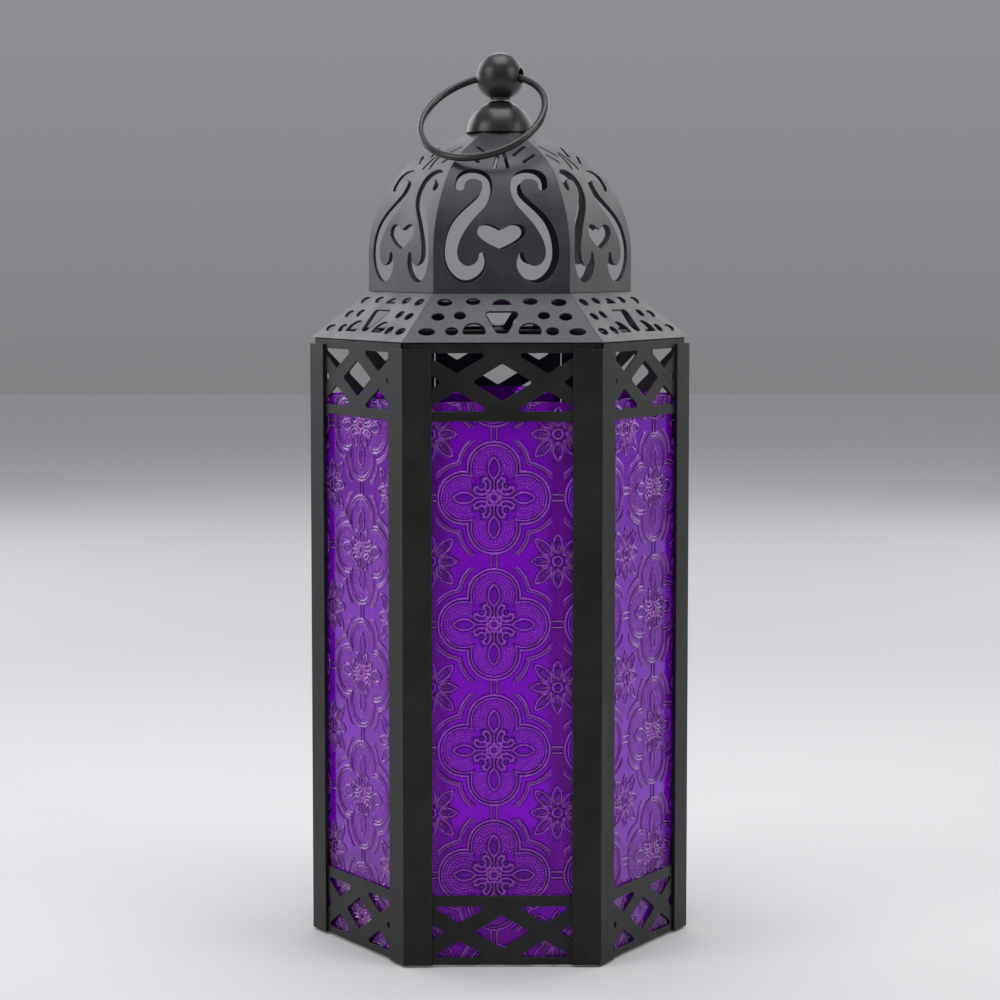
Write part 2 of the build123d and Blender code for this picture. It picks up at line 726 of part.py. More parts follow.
def hinge_pins():
    """Both hinge pins, with a low head at the top."""
    head_height, head_radius = 0.6, 1.2
    with BuildPart() as pins:
        for height in HINGE_HEIGHTS:
            top = height + HINGE_LENGTH / 2
            for low, length, radius in ((top - HINGE_LENGTH, HINGE_LENGTH, HINGE_PIN_RADIUS),
                                        (top, head_height, head_radius)):
                with BuildSketch(Plane.XY.offset(low)):
                    with Locations((HINGE_X, HINGE_Y)):
                        Circle(radius)
                extrude(amount=length)
    save(pins, "hinge_pins")


def hinge_rivets(name, x):
    """Rivets of the hinge leaves in one row: a shank in the sheet and a round head outside."""
    head_height = 0.7
    with BuildPart() as rivets:
        for height in HINGE_HEIGHTS:
            for offset_z in (-HINGE_RIVET_SPACING / 2, HINGE_RIVET_SPACING / 2):
                outer = Plane(origin=(x, APOTHEM + LEAF, height + offset_z), x_dir=(1, 0, 0),
                              z_dir=(0, 1, 0))
                with BuildSketch(outer):
                    Circle(HINGE_RIVET_HEAD)
                extrude(amount=head_height, taper=25)
    save(rivets, name)


# ------------------------------------------------------------------ latch
LATCH_PIVOT = 1.2
LATCH_HEAD = 2.4
LATCH_THICK = 1.0
LATCH_ARM = 10.5
LATCH_WIDTH = 5.0
WASHER = 0.4
LATCH_PLAY = 0.1


def outward_plane(distance):
    """Plane on the back face at the latch pivot, with local x to +X and local y up."""
    return Plane(origin=(LATCH_X, APOTHEM + distance, LATCH_Z), x_dir=(1, 0, 0), z_dir=(0, -1, 0))


def latch_rivet():
    """Pivot rivet of the turn button, fixed in the post flange."""
    shank = WASHER + LATCH_THICK + 2 * LATCH_PLAY
    with BuildPart() as rivet:
        with BuildSketch(outward_plane(0)):
            Circle(LATCH_PIVOT)
        extrude(amount=-shank)
        with BuildSketch(outward_plane(shank)):
            Circle(LATCH_HEAD)
        extrude(amount=-LATCH_THICK)
        fillet(rivet.faces().sort_by(Axis.Y)[-1].edges(), LATCH_THICK / 2)
    save(rivet, "latch_rivet")


def latch_washer():
    """Thin washer between the post and the turn button."""
    with BuildPart() as washer:
        with BuildSketch(outward_plane(0)):
            Circle(LATCH_HEAD)
            Circle(LATCH_PIVOT, mode=Mode.SUBTRACT)
        extrude(amount=-WASHER)
    save(washer, "latch_washer")


def latch_button():
    """Turn button that swings over the door's edge, with a bent finger tab at its end."""
    tab_height = 3.0
    low = WASHER + LATCH_PLAY
    with BuildPart() as button:
        with BuildSketch(outward_plane(low)):
            with Locations((0, (LATCH_ARM - LATCH_WIDTH / 2) / 2)):
                Rectangle(LATCH_WIDTH, LATCH_ARM - LATCH_WIDTH / 2 + LATCH_WIDTH)
            Circle(LATCH_PIVOT + RUN, mode=Mode.SUBTRACT)
        extrude(amount=-LATCH_THICK)
        fillet(button.edges().filter_by(Axis.Y).group_by(Axis.Z)[0], LATCH_WIDTH * 0.45)
        with BuildSketch(outward_plane(low + LATCH_THICK)):
            with Locations((0, LATCH_ARM - LATCH_THICK / 2)):
                Rectangle(LATCH_WIDTH, LATCH_THICK)
        extrude(amount=-tab_height)
    save(button, "latch_button")


# ------------------------------------------------------------------ the whole lantern
def build_body():
    for name, angle in CORNERS.items():
        corner_post(f"corner_post_{name}", angle)
    for name, angle in FACES.items():
        side_panel(f"side_panel_{name}", angle)
        glass_pane(f"glass_pane_{name}", angle, PANEL_IN, GLASS_HALF, GLASS_BOTTOM)
    glass_tabs("glass_tabs", FACES.values(), GLASS_HALF, PANEL_IN)
    base_tray()
    candle_plate()
    candle_plate_rivet()
    top_frame()


def build_roof():
    holes, keystone = skirt_holes()
    patterns = (scroll(1), scroll(-1), heart())
    slits = top_slits()
    for name, angle in {**FACES, "back": BACK}.items():
        skirt_facet(f"roof_skirt_{name}", angle, (holes, keystone))
        dome_gore(f"dome_gore_{name}", angle, patterns, slits)
    roof_rivets()


def build_finial():
    finial_cup()
    finial_collar()
    finial_ball()
    finial_stud()
    finial_washer()
    finial_nut()
    carry_ring()


def build_door():
    door_panel()
    glass_pane("glass_pane_door", BACK, PANEL_OUT, DOOR_GLASS_HALF, DOOR_BOTTOM + GAP)
    glass_tabs("door_glass_tabs", (BACK,), DOOR_GLASS_HALF, PANEL_OUT)
    door_header()
    door_stops()
    door_knob()
    for name, height in zip(("lower", "upper"), HINGE_HEIGHTS):
        hinge_frame_leaf(f"hinge_frame_leaf_{name}", height)
        hinge_door_leaf(f"hinge_door_leaf_{name}", height)
    hinge_pins()
    hinge_rivets("hinge_frame_rivets", (HINGE_X + HINGE_RADIUS + FRAME_LEAF_EDGE) / 2)
    hinge_rivets("hinge_door_rivets", (HINGE_X - HINGE_RADIUS + DOOR_LEAF_EDGE) / 2)
    latch_rivet()
    latch_washer()
    latch_button()


build_body()
build_roof()
build_finial()
build_door()
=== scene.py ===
"""Hexagonal candle lantern: pierced black sheet metal round panes of embossed violet glass."""
import json
import math

import bmesh
import bpy
import numpy as np
from bpy.props import FloatProperty, FloatVectorProperty, IntProperty, PointerProperty
from mathutils import Matrix, Vector


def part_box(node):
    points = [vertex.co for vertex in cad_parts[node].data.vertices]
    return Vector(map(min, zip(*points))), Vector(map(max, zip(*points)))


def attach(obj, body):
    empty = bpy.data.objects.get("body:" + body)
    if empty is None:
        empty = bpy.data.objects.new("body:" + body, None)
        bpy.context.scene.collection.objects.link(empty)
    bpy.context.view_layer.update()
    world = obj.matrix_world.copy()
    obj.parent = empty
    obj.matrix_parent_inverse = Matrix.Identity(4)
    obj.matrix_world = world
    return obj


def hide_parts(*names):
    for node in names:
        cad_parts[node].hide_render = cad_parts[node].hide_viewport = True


bl_info = {
    "name": "Candle Lantern",
    "version": (1, 0, 0),
    "blender": (4, 5, 0),
    "location": "View3D > Sidebar > Lantern",
    "description": "Builds a hexagonal metal and glass candle lantern round its packed frame",
    "category": "Object",
}

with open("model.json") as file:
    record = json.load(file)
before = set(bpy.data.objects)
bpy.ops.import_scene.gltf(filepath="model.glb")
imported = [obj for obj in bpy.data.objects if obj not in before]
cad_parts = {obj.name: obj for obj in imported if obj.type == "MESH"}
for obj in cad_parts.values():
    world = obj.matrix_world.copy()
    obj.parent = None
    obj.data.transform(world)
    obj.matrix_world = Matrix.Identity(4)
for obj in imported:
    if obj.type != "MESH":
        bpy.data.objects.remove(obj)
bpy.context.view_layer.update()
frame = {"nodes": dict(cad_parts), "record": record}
NODES = frame["nodes"]
MM = 0.001

FACE_ANGLES = {"front": -90, "right_front": -30, "right_back": 30, "back": 90, "left_back": 150,
               "left_front": 210}
CORNER_NAMES = ("front_left", "front_right", "right", "back_right", "back_left", "left")
DOOR_FACE = "back"
# How the panes are divided: the part that shows between the lattice bands has the fine cells
WINDOW_LOW, WINDOW_HIGH, WINDOW_HALF = 0.0262, 0.2028, 0.0262
PANE_EDGE = 2 * MM
PANE_MARGIN = 0.06 * MM
# Depth under a gore's outer surface of the last corners on its cut walls. The sheet itself is
# 1.0 mm, so the corners of the inner surface lie deeper and keep their own flat directions.
CUT_WALL_DEPTH = 0.8 * MM
DEPTH_SLACK = 0.06 * MM
CUP_WALL = 1.0 * MM
BALL_EDGE = 0.25 * MM
# Pressed pattern, in millimetres. A lobe line has its distance outside the lobes, its half width
# and its share of the ridge height. A ring of petals has its first angle, the middle of a petal,
# a petal's half length and half width, and how many there are.
LOBE_RADIUS, LOBE_REACH = 9.6, 10.9
LOBE_LINES = ((0.0, 0.46, 1.0), (-1.2, 0.38, 0.85), (2.7, 0.38, 0.8), (3.6, 0.46, 1.0))
LINK_HALF_GAP, LINK_START = 1.1, 20.9
LEAF_HALF_LENGTH, LEAF_HALF_WIDTH = 4.0, 2.0
STAR_REACH, STEM_GAP = 3.1, 4.2
CURL_PLACE, CURL_RADIUS, CURL_HALF_BAND = 4.5, 2.4, 0.9
CURL_TIP = (2.35, -0.85)
PETALS = ((0.0, 6.3, 3.4, 1.6, 4), (math.pi / 4, 7.3, 4.3, 1.75, 4),
          (math.pi / 8, 5.2, 3.0, 0.5, 8))
PETAL_VEINS = (-0.7, 0.0, 0.7)
FLOWER_CLEARING, FLOWER_RING = 2.4, 1.75
# Where a four-lobed figure has its middle on each pane: along the pane and up, in millimetres
PATTERN_STARTS = {"front": (-3.0, 34.3), "left_front": (0.6, 12.1), "right_front": (10.7, 35.0),
                  "left_back": (-6.0, 22.0), "right_back": (4.0, 5.0), "door": (2.0, 30.0)}


# ------------------------------------------------------------------ sizes and colours
class LanternRelief(bpy.types.PropertyGroup):
    """Embossed pattern of the glass."""

    pitch: FloatProperty(
        name="Tile pitch", description="Distance between repeats of the pattern, in millimetres",
        default=46.65, min=10.0)
    ridge: FloatProperty(
        name="Ridge height", description="Height of the main ridges, in millimetres",
        default=0.5, min=0.0, max=0.8)
    bead: FloatProperty(
        name="Bead height", description="Height of the small beads, in millimetres",
        default=0.3, min=0.0, max=0.6)
    bead_pitch: FloatProperty(
        name="Bead pitch", description="Distance between beads, in millimetres",
        default=1.15, min=0.8)
    grain: FloatProperty(
        name="Glass grain",
        description="Height of the fine grain of the pressed face, in millimetres",
        default=0.03, min=0.0, max=0.3)
    columns: IntProperty(
        name="Columns", description="Cells across the visible width of a pane", default=156, min=20)
    rows: IntProperty(
        name="Rows", description="Cells up the window of a pane", default=530, min=20)


class LanternFinish(bpy.types.PropertyGroup):
    """Colours and gloss of the lantern."""

    coat: FloatVectorProperty(
        name="Powder coat", description="Colour of the black powder coat", subtype="COLOR",
        default=(0.0062, 0.0058, 0.006), min=0.0, max=1.0)
    # Painted reflection: the roof's coat is a lighter, bluish copy of the black powder coat,
    # standing in for sky light on the roof.
    roof_sky_sheen_coat: FloatVectorProperty(
        name="Roof coat", description="Colour of the weathered coat on the roof", subtype="COLOR",
        default=(0.0165, 0.0165, 0.0205), min=0.0, max=1.0)
    coat_roughness: FloatProperty(
        name="Coat roughness", description="Roughness of the powder coat", default=0.42,
        min=0.0, max=1.0, subtype="FACTOR")
    glass: FloatVectorProperty(
        name="Glass", description="Tint of the violet glass", subtype="COLOR",
        default=(0.52, 0.006, 0.95), min=0.0, max=1.0)
    ridge_highlight_glass: FloatVectorProperty(
        name="Ridge glass", description="Tint where the pressed ridges and beads catch the light",
        subtype="COLOR", default=(1.0, 0.36, 1.0), min=0.0, max=1.0)
    # Painted shade: a dark tint laid into the glass colour beside the pressed ridges.
    groove_shade_glass: FloatVectorProperty(
        name="Groove glass", description="Tint of the thicker glass beside the pressed ridges",
        subtype="COLOR", default=(0.045, 0.002, 0.2), min=0.0, max=1.0)
    glass_gleam: FloatVectorProperty(
        name="Glass gleam", description="Tint of what the glass mirrors", subtype="COLOR",
        default=(0.75, 0.28, 1.0), min=0.0, max=1.0)
    glass_roughness: FloatProperty(
        name="Glass roughness", description="Roughness of the glass surface", default=0.09,
        min=0.0, max=1.0, subtype="FACTOR")
    edge_round: FloatProperty(
        name="Edge rounding", description="Radius of pressed and cut sheet edges", default=0.00022,
        min=0.0, max=0.001, unit="LENGTH")


class LanternStage(bpy.types.PropertyGroup):
    """Camera and studio."""

    distance: FloatProperty(
        name="Camera distance", description="Level distance from the lantern's axis to the camera",
        default=1.1258, unit="LENGTH")
    height: FloatProperty(
        name="Camera height", description="Height of the camera over the floor", default=0.2677,
        unit="LENGTH")
    lens: FloatProperty(
        name="Lens", description="Focal length in millimetres", default=105.34)
    tilt: FloatProperty(
        name="Tilt", description="How far the camera looks down", default=math.radians(5.057),
        subtype="ANGLE")
    turn: FloatProperty(
        name="Turn", description="Angle of the camera about the lantern",
        default=math.radians(-0.762), subtype="ANGLE")
    floor: FloatVectorProperty(
        name="Floor", description="Colour of the studio floor", subtype="COLOR",
        default=(0.56, 0.55, 0.54), min=0.0, max=1.0)
    # Floor colour away from the lantern: painted falloff of light round the paler pool near it.
    surround: FloatVectorProperty(
        name="Surround", description="Colour of the floor away from the lantern", subtype="COLOR",
        default=(0.46, 0.455, 0.45), min=0.0, max=1.0)


# ------------------------------------------------------------------ node helpers
def socket(group, name, kind, direction, default=None):
    """Add one named socket to a node group's interface."""
    made = group.interface.new_socket(name=name, in_out=direction, socket_type=kind)
    if default is not None:
        made.default_value = default
    return made


def math_node(nodes, operation, *values, clamp=False):
    """Math node with plain numbers set and sockets left for links."""
    node = nodes.new("ShaderNodeMath")
    node.operation = operation
    node.use_clamp = clamp
    for index, value in enumerate(values):
        if value is not None:
            node.inputs[index].default_value = value
    return node


def noise_node(tree, place, scale, detail=3.0, roughness=0.55):
    """Noise texture on object coordinates."""
    node = tree.nodes.new("ShaderNodeTexNoise")
    node.inputs["Scale"].default_value = scale
    node.inputs["Detail"].default_value = detail
    node.inputs["Roughness"].default_value = roughness
    tree.links.new(place, node.inputs["Vector"])
    return node


def ramp_node(tree, value, low, high, out_low=0.0, out_high=1.0):
    """Map a value from one range to another and clamp it."""
    node = tree.nodes.new("ShaderNodeMapRange")
    node.inputs["From Min"].default_value = low
    node.inputs["From Max"].default_value = high
    node.inputs["To Min"].default_value = out_low
    node.inputs["To Max"].default_value = out_high
    tree.links.new(value, node.inputs["Value"])
    return node


def grain_group():
    """Orange peel and fine grain of a powder coat, as a height."""
    name = "Coat Grain"
    if name in bpy.data.node_groups:
        return bpy.data.node_groups[name]
    tree = bpy.data.node_groups.new(name, "ShaderNodeTree")
    socket(tree, "Peel Scale", "NodeSocketFloat", "INPUT", 1100.0)
    socket(tree, "Grain Scale", "NodeSocketFloat", "INPUT", 3600.0)
    socket(tree, "Height", "NodeSocketFloat", "OUTPUT")
    socket(tree, "Mottle", "NodeSocketFloat", "OUTPUT")
    into = tree.nodes.new("NodeGroupInput")
    out = tree.nodes.new("NodeGroupOutput")
    place = tree.nodes.new("ShaderNodeTexCoord").outputs["Object"]
    peel = noise_node(tree, place, 1.0, 1.0)
    grain = noise_node(tree, place, 1.0, 2.0)
    tree.links.new(into.outputs["Peel Scale"], peel.inputs["Scale"])
    tree.links.new(into.outputs["Grain Scale"], grain.inputs["Scale"])
    blend = math_node(tree.nodes, "MULTIPLY_ADD", None, 0.5)
    tree.links.new(grain.outputs["Fac"], blend.inputs[0])
    tree.links.new(peel.outputs["Fac"], blend.inputs[2])
    tree.links.new(blend.outputs[0], out.inputs["Height"])
    mottle = noise_node(tree, place, 55.0, 5.0, 0.6)
    tree.links.new(mottle.outputs["Fac"], out.inputs["Mottle"])
    return tree


def wear_group():
    """Mask that is bright on worn outer edges and in settled dust."""
    name = "Edge Wear and Dust"
    if name in bpy.data.node_groups:
        return bpy.data.node_groups[name]
    tree = bpy.data.node_groups.new(name, "ShaderNodeTree")
    socket(tree, "Radius", "NodeSocketFloat", "INPUT", 0.0006)
    socket(tree, "Edges", "NodeSocketFloat", "OUTPUT")
    socket(tree, "Dust", "NodeSocketFloat", "OUTPUT")
    into = tree.nodes.new("NodeGroupInput")
    out = tree.nodes.new("NodeGroupOutput")
    place = tree.nodes.new("ShaderNodeTexCoord").outputs["Object"]
    surface = tree.nodes.new("ShaderNodeNewGeometry")
    rounded = tree.nodes.new("ShaderNodeBevel")
    rounded.samples = 4
    tree.links.new(into.outputs["Radius"], rounded.inputs["Radius"])
    match = tree.nodes.new("ShaderNodeVectorMath")
    match.operation = "DOT_PRODUCT"
    tree.links.new(rounded.outputs["Normal"], match.inputs[0])
    tree.links.new(surface.outputs["Normal"], match.inputs[1])
    edge = ramp_node(tree, match.outputs["Value"], 0.985, 0.86)
    chips = noise_node(tree, place, 210.0, 4.0, 0.7)
    chipped = ramp_node(tree, chips.outputs["Fac"], 0.47, 0.62)
    worn = math_node(tree.nodes, "MULTIPLY")
    tree.links.new(edge.outputs["Result"], worn.inputs[0])
    tree.links.new(chipped.outputs["Result"], worn.inputs[1])
    tree.links.new(worn.outputs[0], out.inputs["Edges"])
    split = tree.nodes.new("ShaderNodeSeparateXYZ")
    tree.links.new(surface.outputs["Normal"], split.inputs[0])
    upward = ramp_node(tree, split.outputs["Z"], 0.25, 0.95)
    specks = noise_node(tree, place, 900.0, 3.0, 0.75)
    speck = ramp_node(tree, specks.outputs["Fac"], 0.50, 0.72)
    drift = noise_node(tree, place, 40.0, 3.0)
    drifted = math_node(tree.nodes, "MULTIPLY")
    tree.links.new(speck.outputs["Result"], drifted.inputs[0])
    tree.links.new(drift.outputs["Fac"], drifted.inputs[1])
    settled = math_node(tree.nodes, "MULTIPLY")
    tree.links.new(drifted.outputs[0], settled.inputs[0])
    tree.links.new(upward.outputs["Result"], settled.inputs[1])
    tree.links.new(settled.outputs[0], out.inputs["Dust"])
    return tree


def bead_group():
    """Rows of small beads round the middle of each lobe, from the pane's own pattern map."""
    name = "Bead Rows"
    if name in bpy.data.node_groups:
        return bpy.data.node_groups[name]
    tree = bpy.data.node_groups.new(name, "ShaderNodeTree")
    socket(tree, "Pattern", "NodeSocketVector", "INPUT")
    socket(tree, "Pitch", "NodeSocketFloat", "INPUT", 46.65)
    socket(tree, "Lobe Reach", "NodeSocketFloat", "INPUT", LOBE_REACH)
    socket(tree, "Bead Pitch", "NodeSocketFloat", "INPUT", 1.15)
    socket(tree, "Height", "NodeSocketFloat", "OUTPUT")
    into = tree.nodes.new("NodeGroupInput").outputs
    out = tree.nodes.new("NodeGroupOutput")

    def work(operation, *values, clamp=False):
        node = math_node(tree.nodes, operation, clamp=clamp)
        for index, value in enumerate(values):
            if isinstance(value, bpy.types.NodeSocket):
                tree.links.new(value, node.inputs[index])
            else:
                node.inputs[index].default_value = value
        return node.outputs[0]

    split = tree.nodes.new("ShaderNodeSeparateXYZ")
    tree.links.new(into["Pattern"], split.inputs[0])
    folded = []
    for axis in ("X", "Y"):
        turned_in = work("SUBTRACT", work("FRACT", work("ADD", split.outputs[axis], 0.5)), 0.5)
        folded.append(work("MULTIPLY", work("ABSOLUTE", turned_in), into["Pitch"]))
    outward = work("SUBTRACT", work("MAXIMUM", *folded), into["Lobe Reach"])
    sideways = work("MINIMUM", *folded)
    squares = work("ADD", work("MULTIPLY", outward, outward), work("MULTIPLY", sideways, sideways))
    reach = work("DIVIDE", work("SQRT", squares), into["Bead Pitch"])
    row = work("ADD", work("FLOOR", reach), 0.5)
    count = work("ROUND", work("MULTIPLY", row, math.tau))
    turn = work("DIVIDE", work("MULTIPLY", work("ARCTAN2", sideways, outward), count), math.tau)
    along = work("SUBTRACT", work("FRACT", turn), 0.5)
    across = work("SUBTRACT", reach, row)
    off = work("ADD", work("MULTIPLY", along, along), work("MULTIPLY", across, across))
    bead = work("SUBTRACT", 1.0, work("MULTIPLY", off, 5.6), clamp=True)
    tree.links.new(bead, out.inputs["Height"])
    return tree


def group_node(tree, group, **values):
    """Place a node group with its own values."""
    node = tree.nodes.new("ShaderNodeGroup")
    node.node_tree = group
    for name, value in values.items():
        node.inputs[name.replace("_", " ")].default_value = value
    return node


def mix_colour(tree, factor, first, second):
    """Mix from one colour or socket to another by a factor socket."""
    node = tree.nodes.new("ShaderNodeMix")
    node.data_type = "RGBA"
    tree.links.new(factor, node.inputs["Factor"])
    for name, value in (("A", first), ("B", second)):
        target = next(i for i in node.inputs if i.name == name and i.type == "RGBA")
        if isinstance(value, bpy.types.NodeSocket):
            tree.links.new(value, target)
        else:
            target.default_value = (*value, 1.0)
    return next(o for o in node.outputs if o.type == "RGBA")


def new_material(name):
    """Empty Principled material and its tree."""
    material = bpy.data.materials.new(name)
    material.use_nodes = True
    return material, material.node_tree, material.node_tree.nodes["Principled BSDF"]


# ------------------------------------------------------------------ finishes
def coated_metal(name, colour, roughness, worn=0.55, peel=0.00006, gloss=0.22):
    """Powder-coated sheet: mottled near-black, orange peel, worn edges and a little dust."""
    material, tree, shader = new_material(name)
    grain = group_node(tree, grain_group())
    wear = group_node(tree, wear_group())
    lighter = tuple(c * 1.9 + 0.003 for c in colour)
    mottle = ramp_node(tree, grain.outputs["Mottle"], 0.35, 0.7)
    mottled = mix_colour(tree, mottle.outputs["Result"], colour, lighter)
    rubbed = math_node(tree.nodes, "MULTIPLY", None, worn)
    tree.links.new(wear.outputs["Edges"], rubbed.inputs[0])
    edged = mix_colour(tree, rubbed.outputs[0], mottled, (0.085, 0.08, 0.076))
    dusted = math_node(tree.nodes, "MULTIPLY", None, 0.35)
    tree.links.new(wear.outputs["Dust"], dusted.inputs[0])
    final = mix_colour(tree, dusted.outputs[0], edged, (0.24, 0.22, 0.2))
    tree.links.new(final, shader.inputs["Base Color"])
    rough = ramp_node(tree, grain.outputs["Mottle"], 0.3, 0.75, roughness - 0.07, roughness + 0.12)
    tree.links.new(rough.outputs["Result"], shader.inputs["Roughness"])
    shader.inputs["Specular IOR Level"].default_value = gloss
    bump = tree.nodes.new("ShaderNodeBump")
    bump.inputs["Strength"].default_value = 0.55
    bump.inputs["Distance"].default_value = peel
    tree.links.new(grain.outputs["Height"], bump.inputs["Height"])
    tree.links.new(bump.outputs["Normal"], shader.inputs["Normal"])
    return material


def violet_glass(finish, relief):
    """Pressed glass with beads and fine grain, painted paler on its ridges as a highlight and
    deeper beside them as shade.
    """
    material, tree, shader = new_material("Violet Pressed Glass")
    place = tree.nodes.new("ShaderNodeTexCoord").outputs["Object"]
    shader.inputs["Roughness"].default_value = finish.glass_roughness
    shader.inputs["IOR"].default_value = 1.5
    shader.inputs["Specular Tint"].default_value = (*finish.glass_gleam, 1.0)
    shader.inputs["Transmission Weight"].default_value = 0.87
    pattern = tree.nodes.new("ShaderNodeUVMap")
    pattern.uv_map = "pattern"
    beads = group_node(tree, bead_group(), Pitch=relief.pitch, Bead_Pitch=relief.bead_pitch)
    tree.links.new(pattern.outputs["UV"], beads.inputs["Pattern"])
    beaded = tree.nodes.new("ShaderNodeAttribute")
    beaded.attribute_name = "beaded"
    held = math_node(tree.nodes, "MULTIPLY")
    tree.links.new(beads.outputs["Height"], held.inputs[0])
    tree.links.new(beaded.outputs["Fac"], held.inputs[1])
    pressed = math_node(tree.nodes, "MULTIPLY", None, relief.bead)
    tree.links.new(held.outputs[0], pressed.inputs[0])
    grain = noise_node(tree, place, 1500.0, 2.0)
    height = math_node(tree.nodes, "MULTIPLY_ADD", None, relief.grain)
    tree.links.new(grain.outputs["Fac"], height.inputs[0])
    tree.links.new(pressed.outputs[0], height.inputs[2])
    streaks = noise_node(tree, place, 28.0, 3.0)
    deep = tuple(c * 0.86 for c in finish.glass)
    streak = ramp_node(tree, streaks.outputs["Fac"], 0.3, 0.7)
    body = mix_colour(tree, streak.outputs["Result"], deep, tuple(finish.glass))
    raised = tree.nodes.new("ShaderNodeAttribute")
    raised.attribute_name = "raised"
    shaded = tree.nodes.new("ShaderNodeAttribute")
    shaded.attribute_name = "shaded"
    # Painted shade: the broad halo beside the ridges darkens the glass towards the groove tint.
    flank = ramp_node(tree, shaded.outputs["Fac"], 0.05, 0.6, 0.0, 0.95)
    edged = mix_colour(tree, flank.outputs["Result"], body, tuple(finish.groove_shade_glass))
    # Painted highlight: ridges and beads are tinted pale pink, as where they catch the light.
    peak = ramp_node(tree, raised.outputs["Fac"], 0.3, 0.62)
    crest = math_node(tree.nodes, "MULTIPLY_ADD", None, 0.8, clamp=True)
    tree.links.new(held.outputs[0], crest.inputs[0])
    tree.links.new(peak.outputs["Result"], crest.inputs[2])
    tint = mix_colour(tree, crest.outputs[0], edged, tuple(finish.ridge_highlight_glass))
    tree.links.new(tint, shader.inputs["Base Color"])
    bump = tree.nodes.new("ShaderNodeBump")
    bump.inputs["Strength"].default_value = 1.0
    bump.inputs["Distance"].default_value = MM
    tree.links.new(height.outputs[0], bump.inputs["Height"])
    tree.links.new(bump.outputs["Normal"], shader.inputs["Normal"])
    return material


def zinc_steel(name, spangle_scale=380.0, roughness=0.26):
    """Zinc-coated steel with its crystal spangle and fine scuffs."""
    material, tree, shader = new_material(name)
    place = tree.nodes.new("ShaderNodeTexCoord").outputs["Object"]
    crystals = tree.nodes.new("ShaderNodeTexVoronoi")
    crystals.inputs["Scale"].default_value = spangle_scale
    tree.links.new(place, crystals.inputs["Vector"])
    split = tree.nodes.new("ShaderNodeSeparateColor")
    tree.links.new(crystals.outputs["Color"], split.inputs[0])
    tone = mix_colour(tree, split.outputs[0], (0.42, 0.425, 0.43), (0.64, 0.64, 0.62))
    scuffs = noise_node(tree, place, spangle_scale * 4, 4.0, 0.7)
    scuffed = ramp_node(tree, scuffs.outputs["Fac"], 0.55, 0.75)
    tree.links.new(mix_colour(tree, scuffed.outputs["Result"], tone, (0.3, 0.3, 0.3)),
                   shader.inputs["Base Color"])
    shader.inputs["Metallic"].default_value = 1.0
    rough = ramp_node(tree, split.outputs[1], 0.0, 1.0, roughness, roughness + 0.16)
    tree.links.new(rough.outputs["Result"], shader.inputs["Roughness"])
    return material


def studio_floor(colour, surround):
    """Pale matte floor with a faint mottle and a painted pool of light: paler near the middle,
    grading to a darker surround away from it.
    """
    material, tree, shader = new_material("Studio Floor")
    place = tree.nodes.new("ShaderNodeTexCoord").outputs["Object"]
    cloud = noise_node(tree, place, 9.0, 5.0)
    paler = tuple(min(1.0, c * 1.06) for c in colour)
    near = mix_colour(tree, cloud.outputs["Fac"], tuple(colour), paler)
    length = tree.nodes.new("ShaderNodeVectorMath")
    length.operation = "DISTANCE"
    tree.links.new(place, length.inputs[0])
    length.inputs[1].default_value = (0.0, -0.25, 0.0)
    # Painted light: the floor darkens with distance from just in front of the lantern, a painted
    # falloff round a paler pool.
    away = ramp_node(tree, length.outputs["Value"], 0.42, 1.15)
    away.interpolation_type = "SMOOTHSTEP"
    tree.links.new(mix_colour(tree, away.outputs["Result"], near, tuple(surround)),
                   shader.inputs["Base Color"])
    shader.inputs["Roughness"].default_value = 0.75
    return material


def finishes(scene):
    """All lantern materials, made once and found again by name."""
    look = scene.lantern_finish
    coat, rough = tuple(look.coat), look.coat_roughness
    makers = {
        "Black Powder Coat": lambda n: coated_metal(n, coat, rough),
        # Roof coat: painted sky reflection, lighter and bluer than the body's coat.
        "Roof Powder Coat": lambda n: coated_metal(n, tuple(look.roof_sky_sheen_coat), rough - 0.04, 0.7,
                                                   gloss=0.42),
        "Finial Satin Black": lambda n: coated_metal(n, coat, 0.3, 0.5, 0.00003, 0.5),
        "Hardware Satin Black": lambda n: coated_metal(n, tuple(c * 1.6 for c in coat), 0.36, 0.8),
        "Inner Matte Black": lambda n: coated_metal(n, tuple(c * 0.9 for c in coat), 0.55, 0.2),
        "Violet Pressed Glass": lambda n: violet_glass(look, scene.lantern_relief),
        "Zinc Plated Steel": lambda n: zinc_steel(n),
        "Bare Zinc Sheet": lambda n: zinc_steel(n, 140.0, 0.34),
    }
    return {name: bpy.data.materials.get(name) or make(name) for name, make in makers.items()}


# ------------------------------------------------------------------ mesh helpers
def flat_normals(bm):
    """For each corner the direction of the largest face that meets there."""
    areas = {face: face.calc_area() for face in bm.faces}
    return np.array([max(v.link_faces, key=areas.__getitem__).normal for v in bm.verts])


def finish_piece(name, bm, material, body, replaced, crease=25.0):
    """Turn a bmesh into a finished piece that rides on a body and stands for its CAD nodes."""
    mesh = bpy.data.meshes.new(name)
    bm.to_mesh(mesh)
    bm.free()
    piece = bpy.data.objects.new(name, mesh)
    bpy.context.scene.collection.objects.link(piece)
    mesh.materials.append(material)
    mesh.shade_smooth()
    mesh.set_sharp_from_angle(angle=math.radians(crease))
    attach(piece, body)
    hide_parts(*replaced)
    return piece


